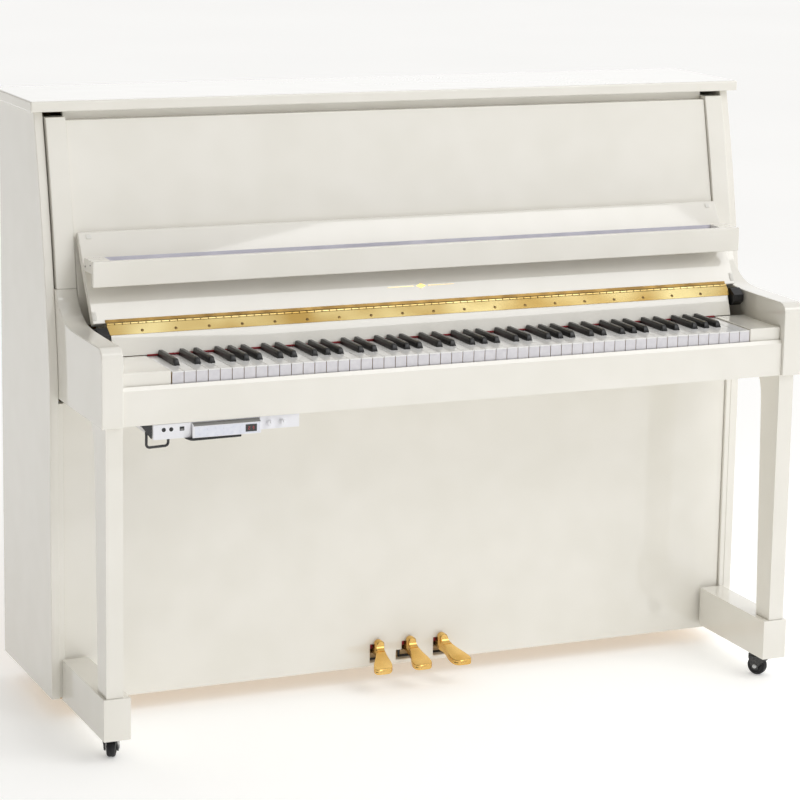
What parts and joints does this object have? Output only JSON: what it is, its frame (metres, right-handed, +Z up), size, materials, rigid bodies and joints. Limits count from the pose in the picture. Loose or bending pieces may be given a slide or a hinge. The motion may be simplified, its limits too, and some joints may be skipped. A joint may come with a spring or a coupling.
{
  "type": "upright piano",
  "caption": "Polished ivory upright piano with opening lid, soft-close fallboard with folding music tray, sprung key banks and pedals, square legs and casters.",
  "frame": {"origin": "on the floor, under the middle of the bounding box", "axes": "+X to the player's right, +Z up, the keyboard side faces -Y"},
  "size_m": [1.542, 0.618, 1.213],
  "materials": {
    "lacquer": "polished polyester lacquer on wood",
    "tray_lining": "satin",
    "black_plastic": "satin",
    "brass": "polished",
    "pedal_brass": "polished",
    "wood": "clear satin",
    "felt_rail": "clear satin with felt",
    "iron": "bronze paint",
    "unit_plastic": "satin",
    "white_key": "acrylic top on spruce",
    "black_key": "matt phenolic on spruce",
    "caster_metal": "semi-gloss",
    "caster_wheel": "satin"
  },
  "bodies": {
    "case": {"side_panel_left": "lacquer", "side_panel_right": "lacquer", "arm_left": "lacquer", "arm_right": "lacquer", "pilaster_left": "lacquer", "pilaster_right": "lacquer", "leg_left": "lacquer", "leg_right": "lacquer", "toe_block_left": "lacquer", "toe_block_right": "lacquer", "upper_panel": "lacquer", "lower_panel": "lacquer", "keybed": "lacquer", "key_slip": "lacquer", "key_block_left": "lacquer", "key_block_right": "lacquer", "fallboard_base": "lacquer", "fallboard_damper_left": "black_plastic", "fallboard_damper_right": "black_plastic", "headphone_hook": "black_plastic", "lid_hinge": "brass", "hinge_leaf_fixed": "brass", "bottom_board": "wood", "back_frame": "wood", "soundboard": "wood", "pin_block": "wood", "action_frame": "wood", "key_frame": "wood", "pedal_bracket": "wood", "iron_plate": "iron", "control_unit": "unit_plastic", "jack_plate": "unit_plastic", "rear_left_fork": "caster_metal", "rear_right_fork": "caster_metal"},
    "lid": {"top_lid": "lacquer"},
    "fallboard": {"fallboard": "lacquer", "hinge_leaf_moving": "brass"},
    "music_tray": {"tray_shelf": "tray_lining"},
    "music_bar": {"tray_bar": "lacquer"},
    "pedal_left": {"pedal_left": "pedal_brass"},
    "pedal_middle": {"pedal_middle": "pedal_brass"},
    "pedal_right": {"pedal_right": "pedal_brass"},
    "mute_rail": {"mute_rail": "felt_rail"},
    "volume_knob": {"volume_knob": "unit_plastic"},
    "mode_knob": {"mode_knob": "unit_plastic"},
    "caster_left": {"front_left_fork": "caster_metal"},
    "caster_right": {"front_right_fork": "caster_metal"},
    "wheel_left": {"front_left_wheel": "caster_wheel"},
    "wheel_right": {"front_right_wheel": "caster_wheel"},
    "rear_wheel_left": {"rear_left_wheel": "caster_wheel"},
    "rear_wheel_right": {"rear_right_wheel": "caster_wheel"},
    "white_bass": {"white_keys_bass": "white_key"},
    "black_bass": {"black_keys_bass": "black_key"},
    "white_tenor": {"white_keys_tenor": "white_key"},
    "black_tenor": {"black_keys_tenor": "black_key"},
    "white_alto": {"white_keys_alto": "white_key"},
    "black_alto": {"black_keys_alto": "black_key"},
    "white_treble": {"white_keys_treble": "white_key"},
    "black_treble": {"black_keys_treble": "black_key"}
  },
  "joints": [
    {"name": "lid_hinge", "type": "hinge", "parent": "case", "child": "lid", "pos_m": [0, 0.3006, 1.1885], "axis": [-1, 0, 0], "range_deg": [0, 100]},
    {"name": "fallboard_hinge", "type": "hinge", "parent": "case", "child": "fallboard", "pos_m": [0, -0.118, 0.805], "axis": [1, 0, 0], "range_deg": [0, 121]},
    {"name": "tray_fold", "type": "hinge", "parent": "fallboard", "child": "music_tray", "pos_m": [0, -0.069, 0.91], "axis": [1, 0, 0], "range_deg": [0, 59]},
    {"name": "bar_fold", "type": "hinge", "parent": "music_tray", "child": "music_bar", "pos_m": [0, -0.1, 0.92], "axis": [-1, 0, 0], "range_deg": [0, 90]},
    {"name": "pedal_left_press", "type": "hinge", "parent": "case", "child": "pedal_left", "pos_m": [-0.067, 0.02, 0.072], "axis": [1, 0, 0], "range_deg": [0, 8], "stiffness_Nm_per_rad": 20, "springref_deg": -6.88},
    {"name": "pedal_middle_press", "type": "hinge", "parent": "case", "child": "pedal_middle", "pos_m": [0.004, 0.02, 0.072], "axis": [1, 0, 0], "range_deg": [0, 8], "stiffness_Nm_per_rad": 20, "springref_deg": -6.88},
    {"name": "pedal_right_press", "type": "hinge", "parent": "case", "child": "pedal_right", "pos_m": [0.075, 0.02, 0.072], "axis": [1, 0, 0], "range_deg": [0, 8], "stiffness_Nm_per_rad": 20, "springref_deg": -6.88},
    {"name": "mute_rail_drop", "type": "slide", "parent": "case", "child": "mute_rail", "axis": [0, 0, -1], "range_m": [0, 0.0121]},
    {"name": "white_bass_press", "type": "hinge", "parent": "case", "child": "white_bass", "pos_m": [-0.49507, -0.06, 0.7], "axis": [1, 0, 0], "range_deg": [0, 2.4], "stiffness_Nm_per_rad": 60, "springref_deg": -4.58},
    {"name": "black_bass_press", "type": "hinge", "parent": "case", "child": "black_bass", "pos_m": [-0.49507, -0.06, 0.7265], "axis": [1, 0, 0], "range_deg": [0, 2.4], "stiffness_Nm_per_rad": 60, "springref_deg": -3.44},
    {"name": "white_tenor_press", "type": "hinge", "parent": "case", "child": "white_tenor", "pos_m": [-0.2231, -0.06, 0.7], "axis": [1, 0, 0], "range_deg": [0, 2.4], "stiffness_Nm_per_rad": 60, "springref_deg": -4.58},
    {"name": "black_tenor_press", "type": "hinge", "parent": "case", "child": "black_tenor", "pos_m": [-0.2231, -0.06, 0.7265], "axis": [1, 0, 0], "range_deg": [0, 2.4], "stiffness_Nm_per_rad": 60, "springref_deg": -3.44},
    {"name": "white_alto_press", "type": "hinge", "parent": "case", "child": "white_alto", "pos_m": [0.108, -0.06, 0.7], "axis": [1, 0, 0], "range_deg": [0, 2.4], "stiffness_Nm_per_rad": 60, "springref_deg": -4.58},
    {"name": "black_alto_press", "type": "hinge", "parent": "case", "child": "black_alto", "pos_m": [0.108, -0.06, 0.7265], "axis": [1, 0, 0], "range_deg": [0, 2.4], "stiffness_Nm_per_rad": 60, "springref_deg": -3.44},
    {"name": "white_treble_press", "type": "hinge", "parent": "case", "child": "white_treble", "pos_m": [0.45093, -0.06, 0.7], "axis": [1, 0, 0], "range_deg": [0, 2.4], "stiffness_Nm_per_rad": 60, "springref_deg": -4.58},
    {"name": "black_treble_press", "type": "hinge", "parent": "case", "child": "black_treble", "pos_m": [0.45093, -0.06, 0.7265], "axis": [1, 0, 0], "range_deg": [0, 2.4], "stiffness_Nm_per_rad": 60, "springref_deg": -3.44},
    {"name": "volume_knob_turn", "type": "hinge", "parent": "case", "child": "volume_knob", "pos_m": [-0.4123, -0.3025, 0.636], "axis": [0, 1, 0], "range_deg": [-140, 140]},
    {"name": "mode_knob_turn", "type": "hinge", "parent": "case", "child": "mode_knob", "pos_m": [-0.386, -0.3025, 0.636], "axis": [0, 1, 0], "range_deg": [-140, 140]},
    {"name": "caster_left_swivel", "type": "hinge", "parent": "case", "child": "caster_left", "pos_m": [-0.7115, -0.262, 0.0477], "axis": [0, 0, 1], "continuous": true},
    {"name": "wheel_left_roll", "type": "hinge", "parent": "caster_left", "child": "wheel_left", "pos_m": [-0.70643, -0.25112, 0.02], "axis": [0.9063, -0.4226, 0], "continuous": true},
    {"name": "caster_right_swivel", "type": "hinge", "parent": "case", "child": "caster_right", "pos_m": [0.7115, -0.262, 0.0477], "axis": [0, 0, 1], "continuous": true},
    {"name": "wheel_right_roll", "type": "hinge", "parent": "caster_right", "child": "wheel_right", "pos_m": [0.70462, -0.25217, 0.02], "axis": [0.8192, 0.5736, 0], "continuous": true},
    {"name": "rear_wheel_left_roll", "type": "hinge", "parent": "case", "child": "rear_wheel_left", "pos_m": [-0.655, 0.255, 0.024], "axis": [1, 0, 0], "continuous": true},
    {"name": "rear_wheel_right_roll", "type": "hinge", "parent": "case", "child": "rear_wheel_right", "pos_m": [0.655, 0.255, 0.024], "axis": [1, 0, 0], "continuous": true}
  ],
  "couplings": [
    {"joint": "tray_fold", "follows": "fallboard_hinge", "ratio": 0.4876},
    {"joint": "bar_fold", "follows": "fallboard_hinge", "ratio": 0.7438},
    {"joint": "mute_rail_drop", "follows": "pedal_middle_press", "m_per_rad": 0.085944}
  ]
}
